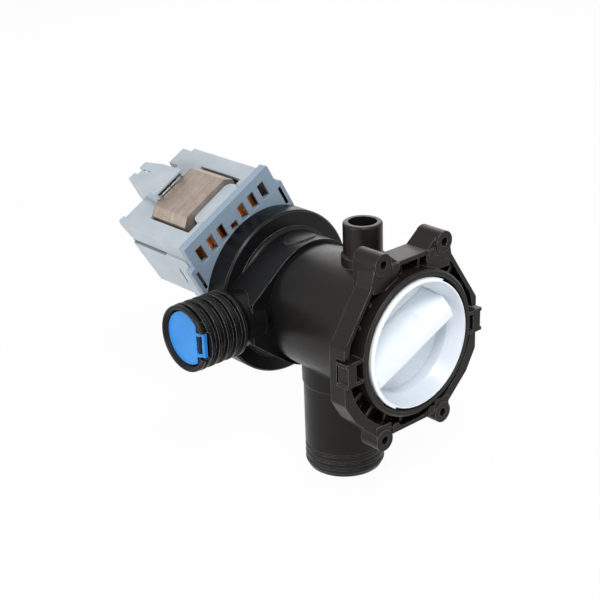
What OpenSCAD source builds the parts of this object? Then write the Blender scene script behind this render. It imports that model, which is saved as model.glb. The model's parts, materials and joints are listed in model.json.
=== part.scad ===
// Drain pump of a washing machine, with its filter, flap valve, impeller and synchronous motor.
// The origin is the centre of the filter opening, in the plane of the four boss faces.
// x runs to the right seen from the filter, y back along the pump axis and z up. Millimetres.

/* [Filter opening] */
// Radius of the collar's bore
filter_r = 31; // [29:0.25:33]
// Wall of the collar
collar_wall = 3; // [2:0.25:4]
// How far the collar stands in front of the boss faces
collar_front = 3; // [2:0.25:5]
// Depth of the seal's bore behind the boss faces
seal_bore_depth = 4; // [3.75:0.25:5]

/* [Sump] */
// Length from the boss faces to the pump chamber
sump_len = 65; // [60:1:75]
// Step in from the collar's bore to the sump
sump_step = 2; // [1.5:0.25:2.5]
// Radius lost along the sump, the draft of its mould core
sump_draft = 2.5; // [1:0.25:3]
// Wall of the housing
wall = 2.5; // [2:0.25:3]
// Radius of the fillet between the sump and the flange
flare_r = 8; // [4:0.5:9]

/* [Flange] */
// Screw bosses' distance from the middle, sideways
boss_x = 19; // [17:0.5:21]
// Screw bosses' distance from the middle, up and down
boss_z = 42; // [41:0.5:44]
// Radius of a screw boss
boss_r = 5; // [4:0.25:6]
// Radius of a screw hole
screw_r = 2; // [1.25:0.25:2.5]
// Depth of a screw hole
screw_depth = 8; // [6:0.5:9]
// Depth of the boss lugs
lug_depth = 13.4; // [12:0.2:16]
// Depth of the flange
flange_depth = 10; // [9:0.5:12]
// Wall of the flange's skirt
skirt_wall = 2; // [1.5:0.25:2.5]
// Half width of the flange
flange_side = 42; // [41:0.5:45]
// Height of the flange above the pump axis
flange_top = 40.5; // [40:0.25:42]
// Ribs in the flange's open front
flange_ribs = 20; // [12:1:28]

/* [Wire loops] */
// Reach of the side loops from the middle
loop_reach = 43.2; // [42.5:0.1:45]
// Height of a side loop's window
loop_gap = 8; // [6:0.5:10]
// Width of a side loop's window
loop_open = 3.4; // [2.5:0.1:3.8]
// Wall of a side loop
loop_wall = 1.6; // [1.2:0.1:2]
// Depth of a side loop
loop_depth = 6; // [5:0.5:7]

/* [Pump chamber] */
// Outer radius of the pump chamber
drum_r = 31; // [30:0.5:34]
// Length of the pump chamber
drum_len = 19; // [18.5:0.5:24]
// Radius of the suction eye
eye_r = 12.5; // [9:0.5:15]
// Outer radius of the motor cup
cup_r = 40.5; // [39.5:0.5:44]
// Length of the motor cup
cup_len = 11.5; // [11:0.5:14]
// Wall of the motor cup
cup_wall = 3.4; // [3:0.2:4]

/* [Spigots] */
// Vent's distance behind the boss faces
vent_y = 31.6; // [28:0.2:34]
// Outer radius of the vent
vent_r = 9; // [8:0.25:10]
// Bore radius of the vent
vent_bore_r = 6.5; // [5:0.25:7]
// Height of the vent's mouth
vent_top = 49; // [44:0.5:56]
// Inlet's distance in front of the pump chamber
inlet_set = 19; // [16:0.5:22]
// Outer radius of the inlet
inlet_r = 19; // [18:0.25:20]
// Bore radius of the inlet
inlet_bore_r = 16.5; // [14:0.25:17]
// Depth of the inlet's mouth below the axis
inlet_bottom = 77; // [65:1:90]
// Outlet's distance behind the front of the pump chamber
outlet_set = 12; // [11:0.25:13]
// Radius of the outlet's hose ribs
outlet_rib_r = 16; // [15.75:0.25:17]
// Radius of the outlet between its ribs
outlet_valley_r = 14.4; // [14.2:0.1:15]
// Bore radius of the outlet
outlet_bore_r = 11.6; // [10:0.2:11.8]
// Distance of the outlet's mouth from the axis
outlet_reach = 69.5; // [66:0.5:76]
// Hose ribs on the outlet
outlet_ribs = 5; // [3:1:5]
// Distance between hose ribs
rib_pitch = 5; // [4:0.25:5]

/* [Flap valve] */
// Radius of the flap
flap_r = 12.6; // [12.3:0.1:13]
// Thickness of the flap
flap_t = 1.8; // [1.4:0.1:2]
// Radius of the flap's hinge pin
flap_pin_r = 1.2; // [1:0.1:1.4]
// Distance of the hinge pin from the outlet's axis
flap_pin_off = 9.8; // [9.2:0.1:10]
// Half height of the flap's hinge loop
flap_loop_half = 5.8; // [4.5:0.1:6]

/* [Filter] */
// How far the cap's rim stands in front of the collar
rim_front = 1; // [0.5:0.25:2]
// Depth of the cap's bowl
bowl_depth = 12.6; // [11:0.2:13.5]
// Turn of the grip above the horizontal
grip_turn = 23; // [0:1:45]
// Thickness of the grip's front edge
grip_t = 4.4; // [3:0.2:6]
// Axial travel in one turn of the cap
thread_lead = 24; // [16:1:26]
// Turn that frees the cap
thread_turn = 90; // [60:5:90]
// Section radius of the cap's seal ring
seal_r = 1.15; // [1:0.05:1.2]
// Length of the strainer cage
cage_len = 47; // [36:1:48]
// Bars of the strainer cage
cage_bars = 8; // [6:1:10]
// Width of a cage bar
cage_bar_w = 3.5; // [2:0.25:4]

/* [Impeller] */
// Radius of the impeller
impeller_r = 21.5; // [18:0.5:25]
// Length of the impeller along the shaft
impeller_len = 10.8; // [10:0.1:11.2]
// Blades of the impeller
blades = 6; // [4:1:8]
// Thickness of a blade
blade_t = 1.8; // [1.2:0.1:2.4]
// Outer radius of the impeller's hub
hub_r = 8.6; // [8:0.2:10]
// Width of the drive dog and of its stop
dog_angle = 50; // [30:5:60]

/* [Rotor] */
// Radius of the shaft
shaft_r = 2; // [1.5:0.1:2.5]
// Radius of the magnet
magnet_r = 11.8; // [10.5:0.1:12.2]
// Length of the magnet
magnet_len = 30; // [26:0.5:31]
// Bore radius of the rotor can
can_bore_r = 13; // [12.6:0.1:13.4]
// Wall of the rotor can
can_wall = 1.2; // [1:0.1:1.5]

/* [Motor] */
// Roll of the motor about the pump axis
motor_roll = 29; // [0:1:45]
// Thickness of the motor's front plate
plate_t = 4; // [3:0.25:5]
// Half width of the front plate's top
plate_half = 29.6; // [28.5:0.25:31]
// Height of the front plate above the axis
plate_top = 54; // [53.5:0.25:56]
// Half width of the casing
casing_half = 27.6; // [27:0.2:28.4]
// Height of the casing above the axis
casing_top = 52; // [51.5:0.25:53]
// Length of the casing
casing_len = 50; // [48.5:0.5:56]
// Wall of the casing
casing_wall = 2; // [1.5:0.25:2]
// Length of the lamination stack
stack_len = 25.5; // [24:0.5:28]
// Distance of the stack's middle behind the front plate
stack_set = 22.25; // [21.75:0.25:22.75]
// Width of a stator leg
leg_w = 8; // [6:0.25:9]
// Distance of a stator leg from the middle
leg_off = 11.5; // [11:0.25:12]
// Height of the yoke above the casing
yoke_proud = 3.7; // [2:0.1:5]
// Gap beside the yoke in the casing's opening
yoke_gap = 1.6; // [0.5:0.1:3]
// Gap in front of the yoke in the casing's opening
yoke_gap_front = 4.3; // [1:0.1:5]

/* [Coils] */
// Turns in the outer layer of a coil
coil_turns = 12; // [8:1:13]
// Radius of the wire bundle that winds the outer layer
wire_r = 0.57; // [0.4:0.01:0.6]
// Half width of a coil
coil_half = 9.2; // [8.5:0.1:9.5]

/* [Hidden] */
$fn = 96;

black_plastic = [0.13, 0.12, 0.115];
white_plastic = [0.93, 0.95, 0.97];
motor_plastic = [0.70, 0.76, 0.82];
blue_plastic = [0.16, 0.56, 0.92];
copper = [0.80, 0.42, 0.18];
steel = [0.62, 0.57, 0.52];

// Clearances: pieces that run, pieces that fit in one body, and pieces that pass each other
run_gap = 0.06;
fit_gap = 0.05;
free_gap = 0.3;
// Overlap that makes a union or a cut sure
eps = 0.1;

// Collar, sump and pump chamber along the axis
collar_r = filter_r + collar_wall;
sump_in = filter_r - sump_step;
sump_in_back = sump_in - sump_draft;
drum_front = sump_len;
drum_in = drum_r - wall;
cup_front = drum_front + drum_len;
cup_back = cup_front + cup_len;
cup_in = cup_r - cup_wall;
outlet_y = drum_front + outlet_set;
inlet_y = drum_front - inlet_set;
// Planes where the roots end and the vent, inlet and outlet begin, and how far the roots stand out
vent_root = sump_in + wall + 3;
inlet_root = sump_in + wall + 2;
outlet_root = cup_r + 0.5;
vent_root_out = 1;
inlet_root_out = 0.6;
neck_r = outlet_valley_r - 0.9;

// Flange outline, right half from the top down; the left half mirrors it
tray_round = 3;
flange_front = 1;
flange_floor = 2;
shoulder_z = flange_top - 7;
flange_half = [[boss_x + boss_r - 0.6, flange_top], [boss_x + boss_r + 1.6, shoulder_z], [flange_side, 9],
               [flange_side, -17], [flange_side - 6, -27], [boss_x + boss_r - 0.5, 3.4 - boss_z],
               [boss_x + 1, 0.8 - boss_z]];
flange_pocket_r = flange_top - 0.9;
loop_mid = -1.9;
loop_back = 4.5;
lug_face = 1.2;
tab_x = 0.6 * boss_x;
// Ribs closer to the horizontal than this sine are left out, where the loops are
rib_clear = 0.25;

// Outlet mouth, its valve seat and hinge
lip_len = 2.4;
lip_r = outlet_rib_r - 0.2;
flap_x = -(outlet_reach - 2.6);
flap_pin_y = outlet_y - flap_pin_off;
mouth_bore_r = flap_r + 1.2;
flap_seat_x = flap_x + flap_t / 2 + free_gap;
loop_near = flap_pin_r + 0.8;
loop_far = loop_near + 1.55;
loop_sweep_r = norm([loop_far, flap_t / 2]) + free_gap;
pin_half = sqrt(pow(mouth_bore_r, 2) - pow(flap_pin_off, 2)) + 1.2;

// Filter cap, its seal and its thread
rim_r = filter_r - 0.6;
rim_y = -(collar_front + rim_front);
rim_lip = 2;
bowl_floor = rim_y + bowl_depth;
gland_front = -1;
gland_back = gland_front + 2 * seal_r + 2 * free_gap;
gland_r = filter_r - free_gap - 2 * seal_r - 0.1;
gland_wall = 1.4;
seal_y = (gland_front + gland_back) / 2;
peg_r = 1.2;
peg_y = 8.7;
peg_tip = sump_in - 1.7;
ridge_r = sump_in - 1;
barrel_r = sump_in - 2.4;
barrel_wall = 2;
ridge_half = 1.2;
ridge_y = peg_y + peg_r + free_gap + ridge_half;
ridge_lead_in = 12;
ridge_run_out = 8;
barrel_end = ridge_y + thread_lead * (thread_turn + ridge_run_out) / 360 + ridge_half + 0.4;
floor_t = 2;
grip_lean = 42;
grip_scoop_r = 10.5;
grip_scoop_end = 2;
cage_r = barrel_r - barrel_wall - fit_gap;
cage_wall = 2.4;
cage_y = bowl_floor + floor_t;

// Impeller, its lost-motion chamber and the drive dog, behind the suction wall
impeller_front = drum_front + wall + 2.1;
impeller_disc_t = 1.5;
hub_nose = 0.37 * impeller_len;
hub_round = 2.5;
chamber_y = impeller_front + hub_nose;
hub_end = impeller_front + impeller_len;
chamber_r = hub_r - 1.9;
shaft_tip = impeller_front + 1.6;
dog_ring_r = shaft_r + 1.4;
cap_t = 1.6;

// Rotor can with its bearings, behind the pump chamber
can_front = cup_front - 1;
can_r = can_bore_r + can_wall;
can_end_t = 1.5;
plug_r = drum_in - free_gap;
can_seal_r = 0.95;
dish_t = 3;
bearing_r = shaft_r + 3;
bearing_len = 6;
washer_t = 1.2;
front_bearing_y = can_front + 2.4;
casing_front = cup_back + plate_t;
stack_mid = casing_front + stack_set;
stack_y = stack_mid - stack_len / 2;
stack_end = stack_mid + stack_len / 2;
magnet_y = stack_mid - magnet_len / 2;
hub_flange_t = 1.5;
hub_wall = 2.2;
rotor_front = front_bearing_y + bearing_len + washer_t + free_gap;
rotor_back = magnet_y + magnet_len + hub_flange_t;
rear_bearing_y = rotor_back + free_gap + washer_t;
can_end = rear_bearing_y + bearing_len;

// Motor casing, stator and coils, in the motor's own width and height
plate_step = 42;
plate_wide = plate_half + 2.9;
casing_bottom = 17;
casing_end = casing_front + casing_len;
ledge = plate_step + 0.6;
window_web = 1.5;
casing_lean = 4;
pole_in = can_r + free_gap;
pole_t = 4;
pole_r = pole_in + pole_t;
trough_r = pole_r + free_gap;
trough_wall = 1.5;
pole_gap = 2.5;
yoke_half = leg_off + leg_w / 2 + 1.7;
yoke_bottom = 45;
yoke_top = casing_top + yoke_proud;
yoke_bevel = [3.9, 3.5];
bobbin_wall = 1.2;
bobbin_bottom = pole_r + 1.4;
coil_bottom = bobbin_bottom + bobbin_wall;
coil_top = yoke_bottom - free_gap - bobbin_wall;
coil_room = coil_top - coil_bottom;
coil_pitch = (coil_room - 2 * wire_r - 0.4) / coil_turns;
coil_start = coil_bottom + wire_r + 0.2;
coil_deep = stack_len / 2 + 6.6;
bobbin_edge = 0.8;
bobbin_end = stack_mid + coil_deep + bobbin_edge;
core_inset = 2 * wire_r + 0.3;
coil_square = 4;
casing_low_end = bobbin_end + free_gap + casing_wall;

// Connector block on the back of the casing
block_front = stack_end - 0.8;
block_foot = stack_end + 0.8;
block_end = casing_end + 10.1;
block_top = casing_top + 8;
block_low = casing_top - 6;
block_left = [-10.2, -6.8];
block_right = [8, 7.7, 5.5];
hood_wall = 1.1;
hood_floor = yoke_top + 0.7;
hood_depth = 9;
socket_wall = 1;
socket_mid = -0.65;
socket_w = 10.6;
socket_depth = 9;
tab_t = 0.8;
tab_w = 6.3;
tab_len = 7;
tab_gap = 7;

// Points on an arc about c, in n steps
function polar(r, a) = r * [cos(a), sin(a)];
function arc(c, r, a0, a1, n = 6) = [for (i = [0:n]) c + polar(r, a0 + (a1 - a0) * i / n)];
function unit(v) = v / norm(v);
function before(i, n) = (i + n - 1) % n;
function after(i, n) = (i + 1) % n;
function reversed(pts) = [for (i = [len(pts) - 1:-1:0]) pts[i]];
function mirrored(half) = concat(reversed(half), [for (p = half) [-p[0], p[1]]]);
// Outward normal of an edge of an outline that runs anticlockwise
function outward(p, q) = [unit(q - p)[1], -unit(q - p)[0]];
// Outward normals of the edges that end and start at point i
function edge_in(pts, i) = outward(pts[before(i, len(pts))], pts[i]);
function edge_out(pts, i) = outward(pts[i], pts[after(i, len(pts))]);
// The same outline, each edge moved in by d
function inset(pts, d) = [for (i = [0:len(pts) - 1])
    let (n0 = edge_in(pts, i), n1 = edge_out(pts, i)) pts[i] - d * (n0 + n1) / (1 + n0 * n1)];
// The same outline with its corners rounded
function rounded(pts, r, steps = 4) = [for (i = [0:len(pts) - 1])
    let (n0 = edge_in(pts, i), n1 = edge_out(pts, i), start = atan2(n0[1], n0[0]))
    each arc(inset(pts, r)[i], r, start, start + acos(n0 * n1), steps)];
// Triangles over a row of rings of points, with both ends closed
function skin_faces(rings, sides) = concat(
    [for (i = [0:rings - 2], j = [0:sides - 1])
        [i * sides + j, (i + 1) * sides + after(j, sides), i * sides + after(j, sides)]],
    [for (i = [0:rings - 2], j = [0:sides - 1])
        [i * sides + j, (i + 1) * sides + j, (i + 1) * sides + after(j, sides)]],
    [for (j = [1:sides - 2]) [0, j, j + 1]],
    [for (j = [1:sides - 2], last = [(rings - 1) * sides]) [last, last + j + 1, last + j]]);
// Section of a turned ring, radius r0 to r1 and y0 to y1, with its front corners cut
function ring_section(r0, r1, y0, y1, cut) = [[r0 + cut, y0], [r1 - cut, y0], [r1, y0 + cut], [r1, y1],
                                              [r0, y1], [r0, y0 + cut]];

// An outline in x and z, made solid from y0 back to y1
module prism_y(y0, y1) {
    translate([0, y1, 0])
        rotate([90, 0, 0])
            linear_extrude(y1 - y0)
                children();
}

// A section of radius and y, turned about the pump axis
module turned_y() {
    rotate([-90, 0, 0])
        rotate_extrude()
            children();
}

// An outline in y and z, made solid from x0 across to x1
module prism_x(x0, x1) {
    translate([x0, 0, 0])
        rotate([90, 0, 90])
            linear_extrude(x1 - x0)
                children();
}

module tube_y(r_in, r_out, y0, y1) {
    turned_y()
        polygon([[r_in, y0], [r_out, y0], [r_out, y1], [r_in, y1]]);
}

module rod_y(r, y0, y1) {
    translate([0, y0, 0])
        rotate([-90, 0, 0])
            cylinder(r = r, h = y1 - y0);
}

// Part of a ring about the pump axis, centred on the direction a seen from the filter
module ring_sector(r_in, r_out, y0, y1, a, width) {
    rotate([0, -a, 0])
        rotate([-90, 0, 0])
            rotate([0, 0, -width / 2])
                rotate_extrude(angle = width)
                    polygon([[r_in, y0], [r_out, y0], [r_out, y1], [r_in, y1]]);
}

module ring_torus(r, section_r, y) {
    turned_y()
        translate([r, y])
            circle(r = section_r, $fn = 32);
}

// Lines up a shape drawn in the motor's own width, depth and height
module in_motor() {
    rotate([0, -motor_roll, 0])
        children();
}

module box(low, high) {
    translate(low)
        cube(high - low);
}

// Fillet from the sump out to the flange's back, its section grown by d
module flare(d) {
    out = sump_in + wall + flare_r;
    turned_y()
        polygon(concat([[sump_in, flange_depth], [out + d, flange_depth]],
                       arc([out, flange_depth + flare_r], flare_r - d, 270, 180),
                       [[sump_in, flange_depth + flare_r]]));
}

module collar_and_sump_bore() {
    front = -collar_front - 1;
    turned_y()
        polygon([[0, front], [filter_r + 1.6, front], [filter_r, -collar_front + 0.6],
                 [filter_r, seal_bore_depth], [sump_in, seal_bore_depth + sump_step], [sump_in, flange_depth],
                 [sump_in_back, drum_front], [sump_in_back, drum_front + eps], [0, drum_front + eps]]);
}

// Short pins in the collar, which the ramps of the filter cap run behind
module filter_pegs() {
    for (a = [90, 210, 330])
        rotate([0, -a, 0])
            translate([peg_tip, peg_y, 0])
                rotate([0, 90, 0])
                    cylinder(r = peg_r, h = sump_in - peg_tip + 1);
}

// Upper screw boss, a ring on a lug whose inner flank slopes down to the web between the lugs
module upper_lug(sx) {
    web_z = flange_top - boss_z;
    flank = 5;
    mirror([sx < 0 ? 1 : 0, 0, 0])
        translate([boss_x, 0, boss_z]) {
            rod_y(boss_r, 0, lug_face + eps);
            prism_y(lug_face, lug_depth) {
                circle(r = boss_r);
                polygon([[boss_r, 0], [boss_r, shoulder_z - boss_z - 4], [-boss_r - flank, shoulder_z - boss_z - 4],
                         [-boss_r - flank, web_z], [-boss_r * cos(40), boss_r * sin(40)]]);
            }
        }
}

// Lower screw boss with the web that carries it
module lower_lug(sx) {
    translate([sx * boss_x, 0, -boss_z]) {
        rod_y(boss_r, 0, flange_depth);
        prism_y(0.6, flange_depth)
            translate([-boss_r + 0.4, 0])
                square([2 * boss_r - 0.8, boss_z - flange_top + 6]);
    }
}

// Plate with a round end that stands in the flange's open front
module web_tab(x, sz) {
    r = 2.2;
    prism_y(0.2, 2.2)
        translate([x, sz * (flange_top - r)]) {
            circle(r = r);
            translate([-r, sz > 0 ? 0 : -r])
                square([2 * r, r - 0.2]);
        }
}

// Loop beside the collar that takes a wire or a clip
module side_loop(side) {
    front = loop_back - loop_depth;
    outer = collar_r + loop_open;
    mirror([side < 0 ? 1 : 0, 0, 0])
        translate([0, 0, loop_mid]) {
            box([outer, front, -loop_gap / 2 - eps], [loop_reach - 0.9, loop_back, loop_gap / 2 + eps]);
            for (s = [-1, 1])
                translate([0, 0, s * (loop_gap + loop_wall) / 2])
                    box([collar_r - 1, front, -loop_wall / 2], [loop_reach, loop_back, loop_wall / 2]);
        }
}

// Open-fronted mounting flange round the collar
module flange() {
    outline = mirrored(flange_half);
    half = loop_gap / 2 + loop_wall + 0.8;
    difference() {
        prism_y(flange_front, flange_depth)
            polygon(rounded(outline, tray_round));
        prism_y(flange_front - 1, flange_depth - flange_floor)
            intersection() {
                polygon(rounded(inset(outline, skirt_wall), tray_round - 1));
                circle(r = flange_pocket_r);
            }
        for (s = [-1, 1])
            translate([s * flange_side, 0, loop_mid])
                box([-5, 0, -half], [5, 6, half]);
    }
    for (i = [0:flange_ribs - 1])
        if (abs(sin((i + 0.5) * 360 / flange_ribs)) > rib_clear)
            rotate([0, (i + 0.5) * 360 / flange_ribs, 0])
                box([collar_r - 1, flange_front + 2, -0.75], [flange_pocket_r - 0.6, flange_depth - 1, 0.75]);
    box([-boss_x, flange_front, flange_top - skirt_wall], [boss_x, lug_depth, flange_top]);
    for (sx = [-1, 1]) {
        upper_lug(sx);
        lower_lug(sx);
    }
    for (sx = [-1, 1], sz = [-1, 1])
        web_tab(sx * tab_x, sz);
    for (s = [-1, 1])
        side_loop(s);
}

module screw_holes() {
    for (sx = [-1, 1], sz = [-1, 1])
        translate([sx * boss_x, 0, sz * boss_z])
            rod_y(screw_r, -1, screw_depth);
}

// Drop-shaped outline of the pump chamber: a circle drawn out to the outlet's neck
module chamber_outline(r, reach, half) {
    lean = atan2(half, reach) + acos(r / norm([reach, half]));
    circle(r = r);
    polygon([r * [-cos(lean), sin(lean)], [-reach, half], [-reach, -half], r * [-cos(lean), -sin(lean)]]);
}

// Root of the outlet's neck between two planes across the pump's axis
module neck_root(start, end) {
    intersection() {
        translate([-drum_r, outlet_y, 0])
            rotate([0, -90, 0])
                cylinder(r = neck_r, h = outlet_root - drum_r);
        box([-outlet_root - 1, start, -neck_r - 1], [0, end, neck_r + 1]);
    }
}

module chamber_bore() {
    prism_y(drum_front + wall, cup_front - wall)
        chamber_outline(drum_in, drum_r + 4, 7.5);
    rod_y(drum_in, drum_front + wall, cup_front + wall);
    rod_y(cup_in, cup_front + wall, cup_back + 1);
    rod_y(eye_r, drum_front - 1, drum_front + wall + 1);
}

// Hooks at the mouth of the motor cup, which the lugs of the rotor can turn behind
module bayonet_hooks() {
    for (a = [45:90:315])
        ring_sector(cup_in - 1.5, cup_in + 1, cup_back - 1.5, cup_back, a, 24);
}

module vent_bore() {
    translate([0, vent_y, sump_in_back - 8])
        cylinder(r = vent_bore_r, h = vent_top);
}

module inlet_bore() {
    translate([0, inlet_y, -inlet_bottom - 1])
        cylinder(r = inlet_bore_r, h = inlet_bottom - sump_in_back + 9);
}

module outlet_bore() {
    translate([0, outlet_y, 0])
        rotate([0, -90, 0]) {
            translate([0, 0, drum_in - 8])
                cylinder(r = outlet_bore_r, h = outlet_reach);
            translate([0, 0, -flap_seat_x])
                cylinder(r = mouth_bore_r, h = outlet_reach);
        }
}

// Roots on the sump that carry the vent and the inlet
module vent_and_inlet_roots() {
    step = 1;
    inside = sump_in_back - 6;
    inlet_out = inlet_r + inlet_root_out;
    vent_out = vent_r + vent_root_out;
    translate([0, vent_y, 0])
        rotate_extrude()
            polygon([[0, sump_in_back], [vent_out, sump_in_back], [vent_out, vent_root - step],
                     [vent_r, vent_root], [0, vent_root]]);
    intersection() {
        translate([0, inlet_y, 0])
            mirror([0, 0, 1])
                rotate_extrude()
                    polygon([[0, inside], [inlet_out, inside], [inlet_out, inlet_root - step],
                             [inlet_r, inlet_root], [0, inlet_root]]);
        box([-inlet_out, 0, -inlet_root], [inlet_out, drum_front, 0]);
    }
}

// Vent on top of the sump
module vent_pipe() {
    color(black_plastic)
        difference() {
            translate([0, vent_y, 0])
                rotate_extrude()
                    polygon(concat([[0, vent_root], [vent_r, vent_root]],
                                   arc([vent_r - 1, vent_top - 1], 1, 0, 90, 4), [[0, vent_top]]));
            vent_bore();
        }
}

// Inlet below the sump, with grooves for the hose clip near its mouth
module inlet_pipe() {
    groove = 0.5;
    deep = inlet_r - groove;
    grooves = [for (i = [2:-1:0]) inlet_bottom - 4.5 - 3.4 * i];
    notches = [for (d = grooves) each [[inlet_r, d - 0.8], [deep, d - 0.4], [deep, d + 0.4], [inlet_r, d + 0.8]]];
    color(black_plastic)
        difference() {
            translate([0, inlet_y, 0])
                mirror([0, 0, 1])
                    rotate_extrude()
                        polygon(concat([[0, inlet_root], [inlet_r, inlet_root]], notches,
                                       [[inlet_r, inlet_bottom - 2.5], [inlet_r - 1.3, inlet_bottom],
                                        [0, inlet_bottom]]));
            inlet_bore();
        }
}

// Neck, hose ribs and mouth of the outlet, turned about its own axis
module outlet_pipe() {
    last = outlet_reach - 4;
    crests = [for (i = [outlet_ribs - 1:-1:0]) last - i * rib_pitch];
    lip_start = outlet_reach - lip_len;
    ribs = [for (d = crests) each [[outlet_valley_r, d - 1.4], [outlet_rib_r, d - 0.7],
                                   [outlet_rib_r, d + 0.7], [outlet_valley_r, d + 1.3]]];
    lip = concat([[outlet_valley_r, lip_start], [lip_r, lip_start + 0.6]],
                 arc([lip_r - 0.7, outlet_reach - 0.7], 0.7, 0, 90, 3), [[0, outlet_reach]]);
    color(black_plastic)
        difference() {
            translate([0, outlet_y, 0])
                rotate([0, -90, 0])
                    rotate_extrude()
                        polygon(concat([[0, outlet_root], [neck_r, outlet_root], [neck_r, crests[0] - 1.5]],
                                       ribs, lip));
            outlet_bore();
            valve_seat();
        }
}

// Room for the flap's loop, and the two holes that hold its pin
module valve_seat() {
    half = flap_loop_half + free_gap;
    translate([flap_x, flap_pin_y, 0]) {
        translate([0, 0, -half])
            cylinder(r = loop_sweep_r, h = 2 * half);
        box([-outlet_reach, -loop_sweep_r, -half], [0, 0, half]);
        translate([0, 0, -pin_half - fit_gap])
            cylinder(r = flap_pin_r + fit_gap, h = 2 * (pin_half + fit_gap));
    }
}

// Plain oval pad on top of the pump chamber
module chamber_pad() {
    pad = [9, 5.5];
    intersection() {
        translate([0, drum_front + 8.5, 0])
            linear_extrude(drum_r + 9)
                polygon([for (a = [0:15:345]) [pad[0] * cos(a), pad[1] * sin(a)]]);
        tube_y(drum_r - 1, drum_r + 0.6, drum_front + 1, cup_front - 1);
    }
}

// Sump between the flange and the pump chamber, with the roots of the vent and the inlet
module pump_housing() {
    color(black_plastic)
        difference() {
            union() {
                turned_y()
                    polygon([[sump_in_back - 2, flange_depth], [sump_in + wall, flange_depth],
                             [sump_in_back + wall, drum_front], [sump_in_back - 2, drum_front]]);
                flare(0);
                vent_and_inlet_roots();
            }
            collar_and_sump_bore();
            vent_bore();
            inlet_bore();
        }
}

// Collar round the filter opening with the flange that screws to the machine
module front_flange() {
    color(black_plastic) {
        difference() {
            union() {
                turned_y()
                    polygon(ring_section(sump_in - 1, collar_r, -collar_front, flange_depth, 0.8));
                flange();
            }
            collar_and_sump_bore();
            flare(fit_gap);
            screw_holes();
        }
        filter_pegs();
    }
}

// Pump chamber, drawn out to the outlet's neck
module pump_chamber() {
    fillet = 2;
    land = 0.3;
    color(black_plastic)
        difference() {
            union() {
                prism_y(drum_front, cup_front)
                    chamber_outline(drum_r, drum_r + 7, 10);
                turned_y()
                    polygon(concat([[drum_in - 1, cup_front], [drum_r + fillet, cup_front]],
                                   arc([drum_r + fillet, cup_front - fillet - land], fillet, 90, 180),
                                   [[drum_in - 1, cup_front - fillet - land]]));
                neck_root(drum_front - wall, cup_front);
                chamber_pad();
            }
            chamber_bore();
            outlet_bore();
        }
}

// Cup behind the pump chamber that holds the motor, with its bayonet hooks
module motor_cup() {
    color(black_plastic) {
        difference() {
            union() {
                turned_y()
                    polygon([[drum_in - 1, cup_front], [cup_r - 0.8, cup_front], [cup_r, cup_front + 0.8],
                             [cup_r, cup_back], [drum_in - 1, cup_back]]);
                neck_root(cup_front, cup_back);
            }
            chamber_bore();
            outlet_bore();
        }
        bayonet_hooks();
    }
}

// Bar across the outlet's mouth that the flap hangs on
module valve_pin() {
    color(black_plastic)
        translate([flap_x, flap_pin_y, -pin_half])
            cylinder(r = flap_pin_r, h = 2 * pin_half, $fn = 32);
}

// Disc of the outlet's valve with the open loop that turns on the pin
module outlet_flap() {
    arm = 1.5;
    cut = -flap_pin_off + flap_pin_r + 0.8;
    color(blue_plastic)
        translate([flap_x, outlet_y, 0])
            difference() {
                union() {
                    rotate([0, 90, 0])
                        translate([0, 0, -flap_t / 2])
                            intersection() {
                                cylinder(r = flap_r, h = flap_t);
                                translate([-flap_r - 1, cut, -1])
                                    cube([2 * flap_r + 2, 2 * flap_r, flap_t + 2]);
                            }
                    for (s = [-1, 1])
                        translate([0, 0, s * (flap_loop_half - arm / 2)])
                            box([-flap_t / 2, -flap_pin_off - loop_far, -arm / 2], [flap_t / 2, cut + 1, arm / 2]);
                    for (s = [-1, 1])
                        translate([0, -flap_pin_off, s * (flap_loop_half - arm / 2) - arm / 2])
                            cylinder(r = flap_pin_r + 0.75, h = arm);
                    box([-flap_t / 2, -flap_pin_off - loop_far, -flap_loop_half],
                        [flap_t / 2, -flap_pin_off - loop_near, flap_loop_half]);
                }
                translate([0, -flap_pin_off, -flap_loop_half - 1])
                    cylinder(r = flap_pin_r + run_gap, h = 2 * flap_loop_half + 2);
            }
}

// Ramp on the cap's barrel, which climbs behind a peg as the cap turns
module cap_ramp(a) {
    span = thread_turn + ridge_run_out + ridge_lead_in;
    steps = 10;
    turns = [for (i = [0:steps]) ridge_lead_in - span * (steps - i) / steps];
    root = barrel_r - 0.5;
    section = [[ridge_r, -0.7], [ridge_r, 0.7], [root, ridge_half], [root, -ridge_half]];
    ring = function(t) [for (c = section)
        [c[0] * cos(a + t), ridge_y - thread_lead * t / 360 + c[1], c[0] * sin(a + t)]];
    polyhedron([for (t = turns) each ring(t)], skin_faces(steps + 1, 4));
}

// Inside of the bowl from the middle of its floor to the rim, moved in by d
function bowl_profile(d) = [[0, bowl_floor], [barrel_r - 2.2 - d, bowl_floor],
    [barrel_r - 2 - d, gland_back + gland_wall], [gland_r - 2 - d, seal_y], [rim_r - rim_lip - d, rim_y + 0.5]];

// Bowl section of the cap, from the rim round the seal's gland to the end of the barrel
module cap_section() {
    polygon(concat(bowl_profile(0),
            [[rim_r - rim_lip + 0.4, rim_y], [rim_r - 1.2, rim_y], [rim_r - 0.8, rim_y + 0.4],
             [rim_r - 0.8, gland_front], [gland_r, gland_front], [gland_r, gland_back],
             [filter_r - 2 * free_gap, gland_back], [filter_r - 2 * free_gap, gland_back + gland_wall - 0.4],
             [barrel_r, gland_back + gland_wall], [barrel_r, barrel_end], [barrel_r - barrel_wall, barrel_end],
             [barrel_r - barrel_wall, bowl_floor + floor_t], [0, bowl_floor + floor_t]]));
}

// Half of the grip's finger hollows: a scoop along one flank that ends in a round
module grip_scoop(front) {
    translate([grip_scoop_end, front, grip_t / 2 + grip_scoop_r]) {
        rotate([0, -90, 0])
            cylinder(r = grip_scoop_r, h = 2 * filter_r);
        sphere(r = grip_scoop_r);
    }
}

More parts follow.
